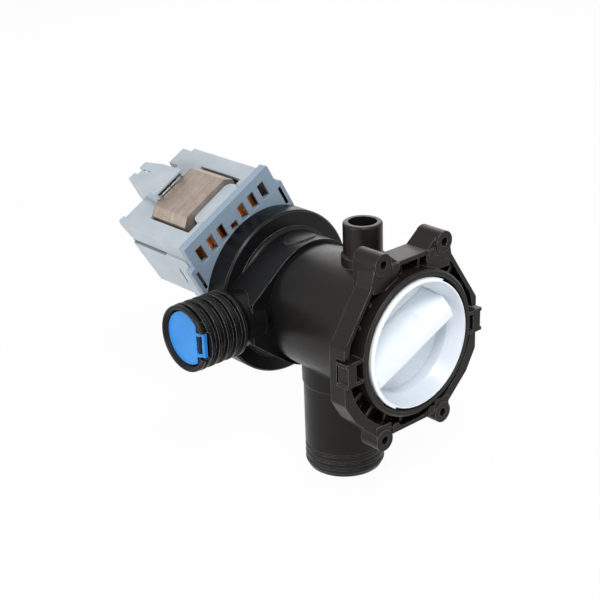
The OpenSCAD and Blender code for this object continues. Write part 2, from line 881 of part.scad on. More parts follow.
// Wedge across the bowl that the fingers turn, with a hollow on each side and one end cut back
module filter_grip() {
    front = rim_y + 0.9;
    base = grip_t / 2 + (bowl_floor - front) * tan(grip_lean);
    reach = rim_r - rim_lip;
    color(white_plastic)
        intersection() {
            rotate([0, -grip_turn, 0])
                difference() {
                    prism_x(-filter_r, filter_r)
                        polygon([[front, -grip_t / 2], [bowl_floor, -base], [bowl_floor, base], [front, grip_t / 2]]);
                    for (a = [0, 180])
                        rotate([0, a, 0])
                            grip_scoop(front);
                    translate([reach - 6, front - 1, 0])
                        rotate([0, 0, -20])
                            box([0, -10, -filter_r], [20, 8, filter_r]);
                }
            turned_y()
                polygon(concat(bowl_profile(fit_gap), [[0, rim_y + 0.5]]));
        }
}

// Screw-in cap of the filter
module filter_cap() {
    color(white_plastic) {
        turned_y()
            cap_section();
        ring_sector(rim_r - 1.4, rim_r, rim_y + 0.3, gland_front - 0.5, 150, 176);
        for (a = [90, 210, 330])
            cap_ramp(a);
    }
}

// Strainer behind the cap: bars between two rings, with a cross over the far one
module filter_cage() {
    ring_w = 2.4;
    end = cage_y + cage_len;
    color(white_plastic) {
        tube_y(cage_r - cage_wall, cage_r, cage_y, cage_y + 6);
        tube_y(cage_r - cage_wall, cage_r - 0.6, end - ring_w, end);
        for (i = [0:cage_bars - 1])
            rotate([0, (i + 0.5) * 360 / cage_bars, 0])
                box([cage_r - cage_wall, cage_y + 5, -cage_bar_w / 2], [cage_r - 0.8, end - 0.4, cage_bar_w / 2]);
        for (a = [0, 90])
            rotate([0, a, 0])
                box([-cage_r + 1.2, end - ring_w, -1], [cage_r - 1.2, end, 1]);
    }
}

// Rubber ring in the cap's gland
module filter_seal() {
    color([0.08, 0.08, 0.08])
        ring_torus(filter_r - free_gap - seal_r, seal_r, seal_y);
}

// Impeller with straight blades, so that it pumps whichever way the motor starts
module impeller() {
    blade_low = hub_end - impeller_disc_t;
    color([0.20, 0.20, 0.21]) {
        difference() {
            union() {
                turned_y()
                    polygon([[0, impeller_front], [hub_r - hub_round, impeller_front],
                             [hub_r, impeller_front + hub_round], [hub_r, hub_end], [0, hub_end]]);
                rod_y(impeller_r, blade_low, hub_end);
                for (i = [0:blades - 1])
                    rotate([0, i * 360 / blades, 0])
                        translate([0, 0, -blade_t / 2])
                            linear_extrude(blade_t)
                                polygon([[hub_r - 1, impeller_front + 1.2], [impeller_r * 0.7, impeller_front + 0.6],
                                         [impeller_r, impeller_front + 3], [impeller_r, blade_low + 0.5],
                                         [hub_r - 1, blade_low + 0.5]]);
            }
            rod_y(chamber_r, chamber_y, hub_end + 1);
            rod_y(shaft_r + run_gap, shaft_tip - 0.4, chamber_y + 1);
        }
        ring_sector(dog_ring_r + free_gap, chamber_r + 0.5, chamber_y - 0.5, hub_end, 180, dog_angle);
    }
}

// Disc that closes the impeller's hub behind the drive dog
module impeller_cap() {
    color([0.24, 0.24, 0.25])
        tube_y(shaft_r + run_gap, hub_r, hub_end, hub_end + cap_t);
}

// Dog on the shaft that drives the impeller after a free part turn
module drive_dog() {
    color([0.75, 0.74, 0.70]) {
        tube_y(shaft_r + fit_gap, dog_ring_r, chamber_y + 0.4, hub_end - 0.4);
        ring_sector(dog_ring_r - 0.6, chamber_r - free_gap, chamber_y + 0.8, hub_end - 0.8, 0, dog_angle);
    }
}

module rotor_shaft() {
    color(steel)
        rod_y(shaft_r, shaft_tip, can_end - 0.4);
}

// Plastic sleeve that carries the magnet between two flanges
module rotor_hub() {
    flange_r = magnet_r - 0.2;
    color([0.86, 0.85, 0.80]) {
        tube_y(shaft_r + fit_gap, shaft_r + hub_wall, rotor_front, rotor_back);
        for (y = [magnet_y - hub_flange_t, magnet_y + magnet_len])
            tube_y(shaft_r + hub_wall - 0.5, flange_r, y, y + hub_flange_t);
    }
}

module rotor_magnet() {
    color([0.16, 0.15, 0.15])
        tube_y(shaft_r + hub_wall + fit_gap, magnet_r, magnet_y, magnet_y + magnet_len);
}

// Wet can round the rotor, with the dish that closes the pump chamber
module rotor_can() {
    dish_r = cup_in - 0.4;
    rim_in = dish_r - 3.4;
    groove_y = cup_front + wall - 2 * can_seal_r - free_gap;
    groove_r = plug_r - 2 * can_seal_r + 0.1;
    color([0.30, 0.31, 0.33]) {
        turned_y()
            polygon([[can_bore_r, can_front], [plug_r, can_front], [plug_r, groove_y], [groove_r, groove_y],
                     [groove_r, cup_front + wall], [dish_r - 1.4, cup_front + wall], [dish_r - 1.4, cup_back],
                     [rim_in, cup_back], [rim_in, cup_front + wall + dish_t], [can_r, cup_front + wall + dish_t],
                     [can_r, can_end + can_end_t], [0, can_end + can_end_t], [0, can_end], [can_bore_r, can_end]]);
        for (a = [45:90:315])
            ring_sector(dish_r - 2, dish_r, cup_front + wall, cup_back - 1.5 - free_gap, a, 22);
    }
}

// Rubber ring between the rotor can and the housing
module can_seal() {
    color([0.08, 0.08, 0.08])
        ring_torus(plug_r + 0.15 - can_seal_r, can_seal_r, cup_front + wall - can_seal_r - fit_gap);
}

module bearing(y) {
    color([0.28, 0.27, 0.26])
        tube_y(shaft_r + run_gap, bearing_r, y, y + bearing_len);
}

// Rubber block that holds a bearing in the can
module bearing_mount(y0, y1) {
    color([0.12, 0.12, 0.12])
        tube_y(bearing_r + fit_gap, can_bore_r - fit_gap, y0, y1);
}

module thrust_washer(y) {
    color([0.80, 0.72, 0.50])
        tube_y(shaft_r + run_gap, shaft_r + hub_wall + 0.6, y, y + washer_t);
}

module front_bearing() {
    bearing(front_bearing_y);
}

module front_bearing_mount() {
    bearing_mount(can_front + 0.4, front_bearing_y + bearing_len);
}

module front_thrust_washer() {
    thrust_washer(front_bearing_y + bearing_len);
}

module rear_bearing() {
    bearing(rear_bearing_y);
}

module rear_bearing_mount() {
    bearing_mount(rear_bearing_y, can_end);
}

module rear_thrust_washer() {
    thrust_washer(rear_bearing_y - washer_t);
}

// Front plate of the motor with its cooling windows, hollowed behind them
module motor_front_plate() {
    window = [4.2, 8.8];
    window_mid = [-0.6, 44.6];
    small = 4.2;
    slot = [1.7, 10.6];
    slot_v = 33.8;
    recess = [2 * plate_half - 6, window[1] + 2];
    color(motor_plastic)
        in_motor()
            difference() {
                prism_y(cup_back, casing_front)
                    difference() {
                        union() {
                            polygon(rounded(mirrored([[plate_half, plate_top], [plate_half, 0]]), 1.2));
                            polygon(rounded(mirrored([[plate_wide, plate_step], [plate_wide, -6]]), 1.2));
                            circle(r = plate_wide - 0.4);
                        }
                        circle(r = can_r + free_gap);
                        for (u = [7.3, 14.7, 22.1], s = [-1, 1])
                            translate(window_mid + [s * u, 0])
                                square(window, center = true);
                        translate(window_mid + [0, (small - window[1]) / 2])
                            square(small, center = true);
                        for (s = [-1, 1])
                            translate([s * (plate_wide - 2.8), slot_v])
                                square(slot, center = true);
                    }
                prism_y(cup_back + window_web, casing_front + 1)
                    translate(window_mid)
                        square(recess, center = true);
            }
}

// Side of the casing below its ledge, a step prouder than the wall above
module casing_panel(side) {
    proud = 1.2;
    groove = 0.9;
    back = casing_end - 5;
    lean = 3.5;
    mirror([side < 0 ? 1 : 0, 0, 0])
        difference() {
            prism_x(casing_half - 1, casing_half + proud)
                polygon([[casing_front + 3, casing_bottom], [back - lean, casing_bottom], [back, ledge],
                         [casing_front + 3, ledge]]);
            box([casing_half, stack_y + 9, ledge - groove], [casing_half + 2, casing_end, ledge + 1]);
            box([casing_half + 0.4, stack_y + 4, 25], [casing_half + 2, stack_y + 5, 34]);
        }
}

// Moulded casing over the coils, open in front and below, with the yoke standing through its top
module motor_casing() {
    inner = casing_half - casing_wall;
    tongue_t = 1;
    color(motor_plastic)
        in_motor() {
            difference() {
                union() {
                    prism_x(-casing_half, casing_half)
                        polygon([[casing_front, casing_bottom], [casing_low_end, casing_bottom],
                                 [casing_end - casing_lean, ledge], [casing_end, casing_top],
                                 [casing_front, casing_top]]);
                    for (s = [-1, 1])
                        casing_panel(s);
                    box([15, casing_end - casing_lean - 0.5, ledge], [casing_half - 2, casing_end + 7, casing_top]);
                    box([-26.5, casing_end - 1, casing_top - 3], [-23, casing_end + 2, casing_top]);
                    rod_y(trough_r + trough_wall, casing_front, stack_end + 1);
                }
                prism_x(-inner, inner)
                    polygon([[casing_front - 1, casing_bottom + casing_wall],
                             [casing_low_end - casing_wall, casing_bottom + casing_wall],
                             [casing_end - casing_lean - casing_wall, ledge],
                             [casing_end - casing_wall, casing_top - casing_wall],
                             [casing_front - 1, casing_top - casing_wall]]);
                rod_y(trough_r, casing_front - 1, stack_end + 2);
                box([-leg_off - leg_w / 2 - free_gap, stack_y - free_gap, 0],
                    [leg_off + leg_w / 2 + free_gap, stack_end + free_gap, casing_bottom + casing_wall + 1]);
                box([-yoke_half - yoke_gap, stack_y - yoke_gap_front, casing_top - casing_wall - 1],
                    [yoke_half + yoke_gap, stack_end + free_gap, casing_top + 3]);
                for (s = [-1, 1])
                    translate([s * (casing_half + 1.2), 0, 0])
                        rotate([0, s * 24, 0])
                            box([-3, casing_front, casing_bottom - 16], [3, casing_end, casing_bottom + 4]);
            }
            translate([0, 0, casing_top - tongue_t])
                linear_extrude(2 * tongue_t)
                    polygon(rounded([[-12, casing_front + 0.6], [14.2, casing_front + 0.6],
                                     [14.2, stack_y - free_gap], [-12, stack_y - free_gap]], 3.5));
        }
}

// Laminated yoke across the two legs, bevelled at both ends where it stands out of the casing
module stator_yoke() {
    fold = yoke_top - yoke_bevel[1];
    flat = yoke_half - yoke_bevel[0];
    color(steel)
        in_motor()
            prism_y(stack_y, stack_end)
                polygon([[-yoke_half, yoke_bottom], [yoke_half, yoke_bottom], [yoke_half, fold], [flat, yoke_top],
                         [-flat, yoke_top], [-yoke_half, fold]]);
}

// One leg of the stator with the pole shoe that bends round the rotor can
module pole(side) {
    color(steel)
        in_motor()
            mirror([side < 0 ? 1 : 0, 0, 0])
                prism_y(stack_y, stack_end) {
                    difference() {
                        union() {
                            intersection() {
                                circle(r = pole_r);
                                translate([pole_gap, -pole_r - 1])
                                    square([pole_r, 2 * pole_r + 2]);
                            }
                            translate([leg_off - leg_w / 2, 0])
                                square([leg_w, yoke_bottom]);
                        }
                        circle(r = pole_in);
                    }
                }
}

module pole_left() {
    pole(-1);
}

module pole_right() {
    pole(1);
}

// Squared round outline of a coil, in n points
function coil_outline(half_u, half_y, n) = [for (i = [0:n - 1]) squared(half_u, half_y, 360 * i / n)];
function eased(v) = sign(v) * pow(abs(v), 2 / coil_square);
function squared(half_u, half_y, t) = [half_u * eased(cos(t)), half_y * eased(sin(t))];

// Bobbin on one leg: a sleeve between two flanges
module bobbin(side) {
    sleeve = [leg_w / 2 + free_gap, stack_len / 2 + free_gap];
    flange = [coil_half + bobbin_edge, coil_deep + bobbin_edge];
    color([0.88, 0.88, 0.84])
        in_motor()
            translate([side * leg_off, stack_mid, 0])
                difference() {
                    union() {
                        for (v = [bobbin_bottom, coil_top])
                            translate([0, 0, v])
                                linear_extrude(bobbin_wall)
                                    polygon(coil_outline(flange[0], flange[1], 48));
                        box([-sleeve[0] - bobbin_wall, -sleeve[1] - bobbin_wall, bobbin_bottom + 0.5],
                            [sleeve[0] + bobbin_wall, sleeve[1] + bobbin_wall, coil_top + 0.5]);
                    }
                    box([-sleeve[0], -sleeve[1], bobbin_bottom - 1], [sleeve[0], sleeve[1], coil_top + 3]);
                }
}

module bobbin_left() {
    bobbin(-1);
}

module bobbin_right() {
    bobbin(1);
}

// The packed inner turns of a coil
module coil(side) {
    half_u = coil_half - core_inset;
    half_y = coil_deep - core_inset;
    sleeve = [leg_w / 2 + free_gap + bobbin_wall + fit_gap, stack_len / 2 + free_gap + bobbin_wall + fit_gap];
    color(copper)
        in_motor()
            translate([side * leg_off, stack_mid, coil_bottom])
                difference() {
                    linear_extrude(coil_room)
                        polygon(coil_outline(half_u, half_y, 48));
                    box([-sleeve[0], -sleeve[1], -1], [sleeve[0], sleeve[1], coil_room + 1]);
                }
}

module coil_left() {
    coil(-1);
}

module coil_right() {
    coil(1);
}

// Middle line of the outer layer's wire, with a straight lead at each end
turn_steps = 24;
wind_u = coil_half - wire_r;
wind_y = coil_deep - wire_r;
function wire_mid(t) = [each squared(wind_u, wind_y, t), coil_start + coil_pitch * t / 360];
// Outward direction of the winding at t
function wire_out(t) = unit([pow(abs(eased(cos(t))), coil_square - 1) * sign(cos(t)) / wind_u,
                             pow(abs(eased(sin(t))), coil_square - 1) * sign(sin(t)) / wind_y, 0]);
function wire_ring(p, t) = [for (k = [0:5]) p + wire_r * (cos(60 * k) * wire_out(t) - sin(60 * k) * [0, 0, 1])];
wire_turns = [for (i = [0:turn_steps * coil_turns]) 360 * i / turn_steps];
wire_lead = [0, 2 * wire_r, 0];
wire_last = 360 * coil_turns;
wire_points = concat(wire_ring(wire_mid(0) - wire_lead, 0), [for (t = wire_turns) each wire_ring(wire_mid(t), t)],
                     wire_ring(wire_mid(wire_last) + wire_lead, wire_last));
// Least gap between one turn and the next, measured between points of the middle line
wire_gap = min([for (i = [0:turn_steps], j = [turn_steps - 4:turn_steps + 4])
    norm(wire_mid(wire_turns[i + j]) - wire_mid(wire_turns[i]))]) - 2 * wire_r;
echo(least_gap_between_turns = wire_gap);

// The outer layer of a coil, one unbroken wire
module outer_turns(side) {
    color(copper)
        in_motor()
            translate([side * leg_off, stack_mid, 0])
                polyhedron(wire_points, skin_faces(len(wire_turns) + 2, 6));
}

module outer_turns_left() {
    outer_turns(-1);
}

module outer_turns_right() {
    outer_turns(1);
}

// Outline of the connector block from y0 back, in width and depth
module block_outline(y0) {
    slope = (block_left[1] - block_left[0]) / (block_end - block_foot);
    waist = casing_end - 2;
    y1 = max(y0, waist);
    run = (y1 - waist) / (block_end - waist);
    polygon(concat([[block_left[0] + slope * (y0 - block_foot), y0]],
                   y0 < waist ? [[block_right[0], y0]] : [],
                   [[block_right[1] + run * (block_right[2] - block_right[1]), y1], [block_right[2], block_end],
                    [block_left[1], block_end]]));
}

// Plug socket on top of the casing, with a hood over the yoke where the terminals are pushed in
module connector_block() {
    notch = [3.8, 2.8];
    color(motor_plastic)
        in_motor()
            difference() {
                union() {
                    translate([0, 0, casing_top])
                        linear_extrude(block_top - casing_top)
                            block_outline(block_foot);
                    translate([0, 0, block_low])
                        linear_extrude(casing_top - block_low + eps)
                            block_outline(casing_end + fit_gap);
                    box([block_left[0], block_front, hood_floor], [block_right[0], block_foot + eps, block_top]);
                }
                box([socket_mid - socket_w / 2, block_end - socket_depth, block_low + socket_wall],
                    [socket_mid + socket_w / 2, block_end + 1, block_top - socket_wall]);
                box([block_left[0] + hood_wall, block_front - 1, hood_floor],
                    [block_right[0] - hood_wall, block_front + hood_depth, block_top - hood_wall]);
                box([socket_mid - notch[0] / 2, block_end - notch[1], block_top - socket_wall - 1],
                    [socket_mid + notch[0] / 2, block_end + 1, block_top + 1]);
                box([socket_mid + 1, block_end - socket_depth - 0.3, block_top - socket_wall - 0.5],
                    [socket_mid + 2, block_end - notch[1] - 1, block_top + 1]);
            }
}

// Blades in the socket, and the terminal strips under the hood
module terminal_tabs() {
    mid = (block_low + block_top) / 2;
    back = block_end - socket_depth;
    color([0.80, 0.78, 0.72])
        in_motor() {
            for (s = [-1, 1])
                translate([socket_mid + s * tab_gap / 2, back, mid])
                    box([-tab_t / 2, 0, -tab_w / 2], [tab_t / 2, tab_len, tab_w / 2]);
            for (u = [[-7.2, -1.4], [-0.6, 3.6]])
                box([u[0], block_front + 0.4, hood_floor],
                    [u[1], block_front + hood_depth - 0.2, hood_floor + tab_t]);
        }
}

pump_housing();
front_flange();
vent_pipe();
inlet_pipe();
outlet_pipe();
pump_chamber();
motor_cup();
valve_pin();
outlet_flap();
filter_cap();
filter_grip();
filter_cage();
filter_seal();
impeller();
impeller_cap();
drive_dog();
rotor_shaft();
rotor_hub();
rotor_magnet();
rotor_can();
can_seal();
front_bearing();
front_bearing_mount();
front_thrust_washer();
rear_bearing();
rear_bearing_mount();
rear_thrust_washer();
motor_front_plate();
motor_casing();
stator_yoke();
pole_left();
pole_right();
bobbin_left();
bobbin_right();
coil_left();
coil_right();
outer_turns_left();
outer_turns_right();
connector_block();
terminal_tabs();
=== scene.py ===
"""Looks of the washer drain pump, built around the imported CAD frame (metres, same axes)."""
import json
import math

import bmesh
import bpy
from mathutils import Matrix, Vector


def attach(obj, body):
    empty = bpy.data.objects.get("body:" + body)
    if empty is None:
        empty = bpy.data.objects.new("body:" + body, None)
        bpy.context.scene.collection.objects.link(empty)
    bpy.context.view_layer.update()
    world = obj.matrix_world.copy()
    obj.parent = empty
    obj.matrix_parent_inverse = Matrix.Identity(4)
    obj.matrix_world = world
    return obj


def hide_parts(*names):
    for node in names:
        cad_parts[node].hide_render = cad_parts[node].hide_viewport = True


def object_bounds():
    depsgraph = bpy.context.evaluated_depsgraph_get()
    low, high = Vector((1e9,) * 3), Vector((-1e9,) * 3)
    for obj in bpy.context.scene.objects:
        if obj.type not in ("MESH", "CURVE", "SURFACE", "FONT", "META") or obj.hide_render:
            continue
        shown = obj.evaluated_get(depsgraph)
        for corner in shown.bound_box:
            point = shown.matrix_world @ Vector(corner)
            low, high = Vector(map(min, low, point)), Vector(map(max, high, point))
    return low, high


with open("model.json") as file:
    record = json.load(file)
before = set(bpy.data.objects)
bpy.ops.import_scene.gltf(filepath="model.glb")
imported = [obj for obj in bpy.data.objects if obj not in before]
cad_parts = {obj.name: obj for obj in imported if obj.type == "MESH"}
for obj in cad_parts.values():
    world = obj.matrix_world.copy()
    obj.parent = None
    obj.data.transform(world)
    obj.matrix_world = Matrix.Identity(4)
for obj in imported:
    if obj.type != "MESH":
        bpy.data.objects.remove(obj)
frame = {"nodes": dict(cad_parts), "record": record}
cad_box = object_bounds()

MM = 0.001
nodes = frame["nodes"]
scene = bpy.context.scene
scene.view_settings.view_transform = "Standard"

# Camera at the photograph's view: fitted eye, heading, height and roll
EYE = Vector((-0.3989, -0.3746, 0.2542))
AZIMUTH, ELEVATION, ROLL = (math.radians(a) for a in (-41.57, 23.07, -1.98))
FOCAL_PIXELS, FRAME_PIXELS, SENSOR = 1362.0, 600.0, 36.0
NEAREST = 0.01


def add_camera():
    level = math.cos(ELEVATION)
    back = Vector((math.sin(AZIMUTH) * level, -math.cos(AZIMUTH) * level, math.sin(ELEVATION)))
    side = Vector((math.cos(AZIMUTH), math.sin(AZIMUTH), 0.0))
    up = back.cross(side)
    right = side * math.cos(ROLL) + up * math.sin(ROLL)
    up = up * math.cos(ROLL) - side * math.sin(ROLL)
    data = bpy.data.cameras.new("camera")
    data.sensor_width = SENSOR
    data.lens = SENSOR * FOCAL_PIXELS / FRAME_PIXELS
    data.clip_start = NEAREST
    camera = bpy.data.objects.new("camera", data)
    camera.matrix_world = Matrix.Translation(EYE) @ Matrix((right, up, back)).transposed().to_4x4()
    scene.collection.objects.link(camera)
    scene.camera = camera


# Node graph helpers
AXIS = (0.0, 1.0, 0.0)
ACROSS = (1.0, 0.0, 1.0)


class Graph:
    """A node tree with short ways to add and join nodes."""

    def __init__(self, tree, output):
        self.tree = tree
        tree.nodes.clear()
        self.out = self.add(output)

    def add(self, kind, **values):
        node = self.tree.nodes.new(kind)
        for key, value in values.items():
            setattr(node, key, value)
        return node

    def link(self, a, b):
        self.tree.links.new(a, b)

    def feed(self, socket, value):
        """Join a socket to another one, or write a number or a vector in it."""
        if isinstance(value, (int, float, tuple)):
            socket.default_value = value
        else:
            self.link(value, socket)

    def ramp(self, value, low, high, out_low=0.0, out_high=1.0):
        node = self.add("ShaderNodeMapRange")
        self.link(value, node.inputs["Value"])
        ends = {"From Min": low, "From Max": high, "To Min": out_low, "To Max": out_high}
        for name, number in ends.items():
            node.inputs[name].default_value = number
        return node.outputs["Result"]

    def math(self, operation, a, b):
        node = self.add("ShaderNodeMath", operation=operation)
        self.feed(node.inputs[0], a)
        self.feed(node.inputs[1], b)
        return node.outputs["Value"]

    def vector(self, operation, a, b=(0.0, 0.0, 0.0)):
        node = self.add("ShaderNodeVectorMath", operation=operation)
        self.feed(node.inputs[0], a)
        self.feed(node.inputs[1], b)
        return node.outputs["Value" if operation == "DOT_PRODUCT" else "Vector"]

    def mix(self, factor, a, b):
        node = self.add("ShaderNodeMix", data_type="RGBA")
        self.link(factor, node.inputs["Factor"])
        for socket, value in ((node.inputs["A"], a), (node.inputs["B"], b)):
            self.feed(socket, (*value, 1.0) if isinstance(value, tuple) else value)
        return node.outputs["Result"]


class Material(Graph):
    """A material's node tree, with patterns and marks that follow the piece."""

    def __init__(self, name):
        self.material = bpy.data.materials.new(name)
        self.material.use_nodes = True
        super().__init__(self.material.node_tree, "ShaderNodeOutputMaterial")
        self.coords = self.add("ShaderNodeTexCoord").outputs["Object"]

    def noise(self, scale, detail, rough=0.5, stretch=None):
        node = self.add("ShaderNodeTexNoise")
        node.inputs["Scale"].default_value = scale
        node.inputs["Detail"].default_value = detail
        node.inputs["Roughness"].default_value = rough
        coords = self.coords
        if stretch:
            mapping = self.add("ShaderNodeMapping")
            mapping.inputs["Scale"].default_value = stretch
            self.link(coords, mapping.inputs["Vector"])
            coords = mapping.outputs["Vector"]
        self.link(coords, node.inputs["Vector"])
        return node.outputs["Fac"]

    def along(self, *direction):
        """The place along a direction."""
        return self.vector("DOT_PRODUCT", self.coords, direction)

    def band(self, value, low, high, soft=0.05 * MM):
        """One between low and high, with soft ends."""
        above = self.ramp(value, low - soft, low + soft)
        return self.math("MULTIPLY", above, self.ramp(value, high + soft, high - soft))


def srgb(*levels):
    """A colour written as the 8-bit levels that it shows as."""
    return tuple((v / 255 / 12.92) if v <= 10 else ((v / 255 + 0.055) / 1.055) ** 2.4 for v in levels)


# Patterns of the plastics: noise scale per metre and detail, then the levels where each begins and is full
CLOUD, CLOUD_LEVELS = (70.0, 4.0), (0.35, 0.7)
SPECK, SPECK_LEVELS, SPECK_SHARE = (5200.0, 2.0), (0.66, 0.8), 0.25
SPECK_GAIN, SPECK_LIFT = 1.6, 0.004
# Paler rounded edges: partly wear, partly a painted highlight along the edges
EDGE_WEAR_AND_HIGHLIGHT, EDGE_WEAR_AND_HIGHLIGHT_LEVELS, EDGE_WEAR_AND_HIGHLIGHT_LEAST, EDGE_WEAR_AND_HIGHLIGHT_BEND = (240.0, 4.0), (0.3, 0.65), 0.25, (0.985, 0.86)
BLOTCH, BLOTCH_LEVELS, BLOTCH_SMOOTHER, BLOTCH_ROUGHER = (160.0, 5.0), (0.3, 0.75), 0.06, 0.08
GRAIN_DETAIL, GRAIN_ROUGH, GRAIN_STRENGTH = 3.0, 0.6, 0.35
DEPTH_OF_LIGHT, LIGHT_SPREAD = 0.6 * MM, (2.0, 2.0, 2.0)
EDGE_SAMPLES = 6


def moulded(name, colour, pale, rough, edge, edge_wear_and_highlight_colour=None, edge_gain=1.0, grain=1600.0,
            grain_depth=0.02 * MM, specular=0.5, subsurface=0.0, shadow=None, shadow_colour=None,
            shadow_gloss=1.0, fade=None, flush=None):
    """Injection-moulded plastic: cloudy tone, fine grain, rounded edges that may be paler, partly from wear
    and partly as a painted highlight.

    shadow is a function that marks painted shade, where the plastic is darker, such as the seams and slots
    of a housing, and shadow_gloss is the share of its gloss that is left there.
    fade is a tone and the two places along the pump's axis between which it fades out.
    flush marks the seams where pieces of one moulding meet, whose edges stay unrounded.
    """
    g = Material(name)
    shader = g.add("ShaderNodeBsdfPrincipled")
    g.link(shader.outputs["BSDF"], g.out.inputs["Surface"])
    shader.inputs["Specular IOR Level"].default_value = specular
    if subsurface:
        shader.inputs["Subsurface Weight"].default_value = subsurface
        shader.inputs["Subsurface Radius"].default_value = LIGHT_SPREAD
        shader.inputs["Subsurface Scale"].default_value = DEPTH_OF_LIGHT
    base = g.mix(g.ramp(g.noise(*CLOUD), *CLOUD_LEVELS), colour, pale)
    # A tone along the pump's axis; on the white cap and on the motor's front plate it is painted shade
    if fade:
        tone, full, gone = fade
        base = g.mix(g.ramp(g.along(*AXIS), gone, full), base, tone)
    speck = g.ramp(g.noise(*SPECK), *SPECK_LEVELS, 0.0, SPECK_SHARE)
    base = g.mix(speck, base, tuple(min(1.0, c * SPECK_GAIN + SPECK_LIFT) for c in pale))
    bevel = g.add("ShaderNodeBevel", samples=EDGE_SAMPLES)
    bevel.inputs["Radius"].default_value = edge
    normal = bevel.outputs["Normal"]
    flat = g.add("ShaderNodeNewGeometry").outputs["Normal"]
    if flush:
        sharp = g.add("ShaderNodeMix", data_type="VECTOR")
        g.link(flush(g), sharp.inputs["Factor"])
        g.link(normal, sharp.inputs["A"])
        g.link(flat, sharp.inputs["B"])
        normal = sharp.outputs["Result"]
    # Paler rounded edges, partly wear and partly a painted highlight
    if edge_wear_and_highlight_colour:
        bent = g.ramp(g.vector("DOT_PRODUCT", normal, flat), *EDGE_WEAR_AND_HIGHLIGHT_BEND)
        uneven = g.ramp(g.noise(*EDGE_WEAR_AND_HIGHLIGHT), *EDGE_WEAR_AND_HIGHLIGHT_LEVELS, EDGE_WEAR_AND_HIGHLIGHT_LEAST * edge_gain, edge_gain)
        base = g.mix(g.math("MULTIPLY", bent, uneven), base, edge_wear_and_highlight_colour)
    # Painted shade where the shadow function marks it, with less gloss there
    if shadow:
        mark = shadow(g)
        base = g.mix(mark, base, shadow_colour)
        if shadow_gloss < 1.0:
            gloss = g.ramp(mark, 0.0, 1.0, specular, specular * shadow_gloss)
            g.link(gloss, shader.inputs["Specular IOR Level"])
    g.link(base, shader.inputs["Base Color"])
    polish = g.ramp(g.noise(*BLOTCH), *BLOTCH_LEVELS, rough - BLOTCH_SMOOTHER, rough + BLOTCH_ROUGHER)
    g.link(polish, shader.inputs["Roughness"])
    bump = g.add("ShaderNodeBump")
    bump.inputs["Strength"].default_value = GRAIN_STRENGTH
    bump.inputs["Distance"].default_value = grain_depth
    g.link(g.noise(grain, GRAIN_DETAIL, GRAIN_ROUGH), bump.inputs["Height"])
    g.link(normal, bump.inputs["Normal"])
    g.link(bump.outputs["Normal"], shader.inputs["Normal"])
    return g.material


# Patterns of the metals, as above, and the sheets of a lamination
TARNISH, TARNISH_LEVELS = (220.0, 6.0, 0.6), (0.3, 0.72)
POLISH, POLISH_LEVELS, POLISH_SMOOTHER, POLISH_ROUGHER = (500.0, 4.0), (0.3, 0.7), 0.08, 0.1
PITTING, PITTING_SHARE, METAL_STRENGTH, METAL_DEPTH = (2400.0, 3.0), 0.15, 0.5, 0.03 * MM
METAL_EDGE, METAL_EDGE_SAMPLES = 0.25 * MM, 4
STREAK, STREAK_STRETCH, STREAK_LEVELS = (2200.0, 2.0), (0.03, 1.0, 0.03), (0.32, 0.68)
STREAK_TONE, STREAK_SHARE = 0.62, 0.55
GROOVE_TONE, GROOVE_SHARE, GROOVE_WIDTH = 0.4, 0.55, 0.22
SHEET, WAVE_RATE, WAVE_DISTORTION, WAVE_DETAIL = 0.5 * MM, 20.0, 0.4, 1.0


def metal(name, colour, pale, rough, metallic=1.0, sheets=None):
    """Bare metal: uneven tone and polish. sheets names the axis along which it is stacked from sheets."""
    g = Material(name)
    shader = g.add("ShaderNodeBsdfPrincipled")
    g.link(shader.outputs["BSDF"], g.out.inputs["Surface"])
    shader.inputs["Metallic"].default_value = metallic
    base = g.mix(g.ramp(g.noise(*TARNISH), *TARNISH_LEVELS), colour, pale)
    height = g.noise(*PITTING)
    if sheets:
        streak = g.ramp(g.noise(*STREAK, stretch=STREAK_STRETCH), *STREAK_LEVELS, 0.0, STREAK_SHARE)
        base = g.mix(streak, base, tuple(c * STREAK_TONE for c in colour))
        wave = g.add("ShaderNodeTexWave", wave_type="BANDS", bands_direction=sheets, wave_profile="TRI")
        wave.inputs["Scale"].default_value = math.tau / WAVE_RATE / SHEET
        wave.inputs["Distortion"].default_value = WAVE_DISTORTION
        wave.inputs["Detail"].default_value = WAVE_DETAIL
        g.link(g.coords, wave.inputs["Vector"])
        groove = g.ramp(wave.outputs["Fac"], 0.0, GROOVE_WIDTH)
        dark = g.ramp(groove, 0.0, 1.0, GROOVE_SHARE, 0.0)
        base = g.mix(dark, base, tuple(c * GROOVE_TONE for c in colour))
        height = g.math("ADD", g.math("MULTIPLY", height, PITTING_SHARE), groove)
    g.link(base, shader.inputs["Base Color"])
    polish = g.ramp(g.noise(*POLISH), *POLISH_LEVELS, rough - POLISH_SMOOTHER, rough + POLISH_ROUGHER)
    g.link(polish, shader.inputs["Roughness"])
    bevel = g.add("ShaderNodeBevel", samples=METAL_EDGE_SAMPLES)
    bevel.inputs["Radius"].default_value = METAL_EDGE
    bump = g.add("ShaderNodeBump")
    bump.inputs["Strength"].default_value = METAL_STRENGTH
    bump.inputs["Distance"].default_value = METAL_DEPTH
    g.link(height, bump.inputs["Height"])
    g.link(bevel.outputs["Normal"], bump.inputs["Normal"])
    g.link(bump.outputs["Normal"], shader.inputs["Normal"])
    return g.material


# Flat seams of the housing: heights of the inlet's and the vent's, and the outlet's place across (mm)
INLET_SEAM, VENT_SEAM, OUTLET_SEAM = (-34.2, -31.5), (33.8, 35.2), (-41.7, -40.3)


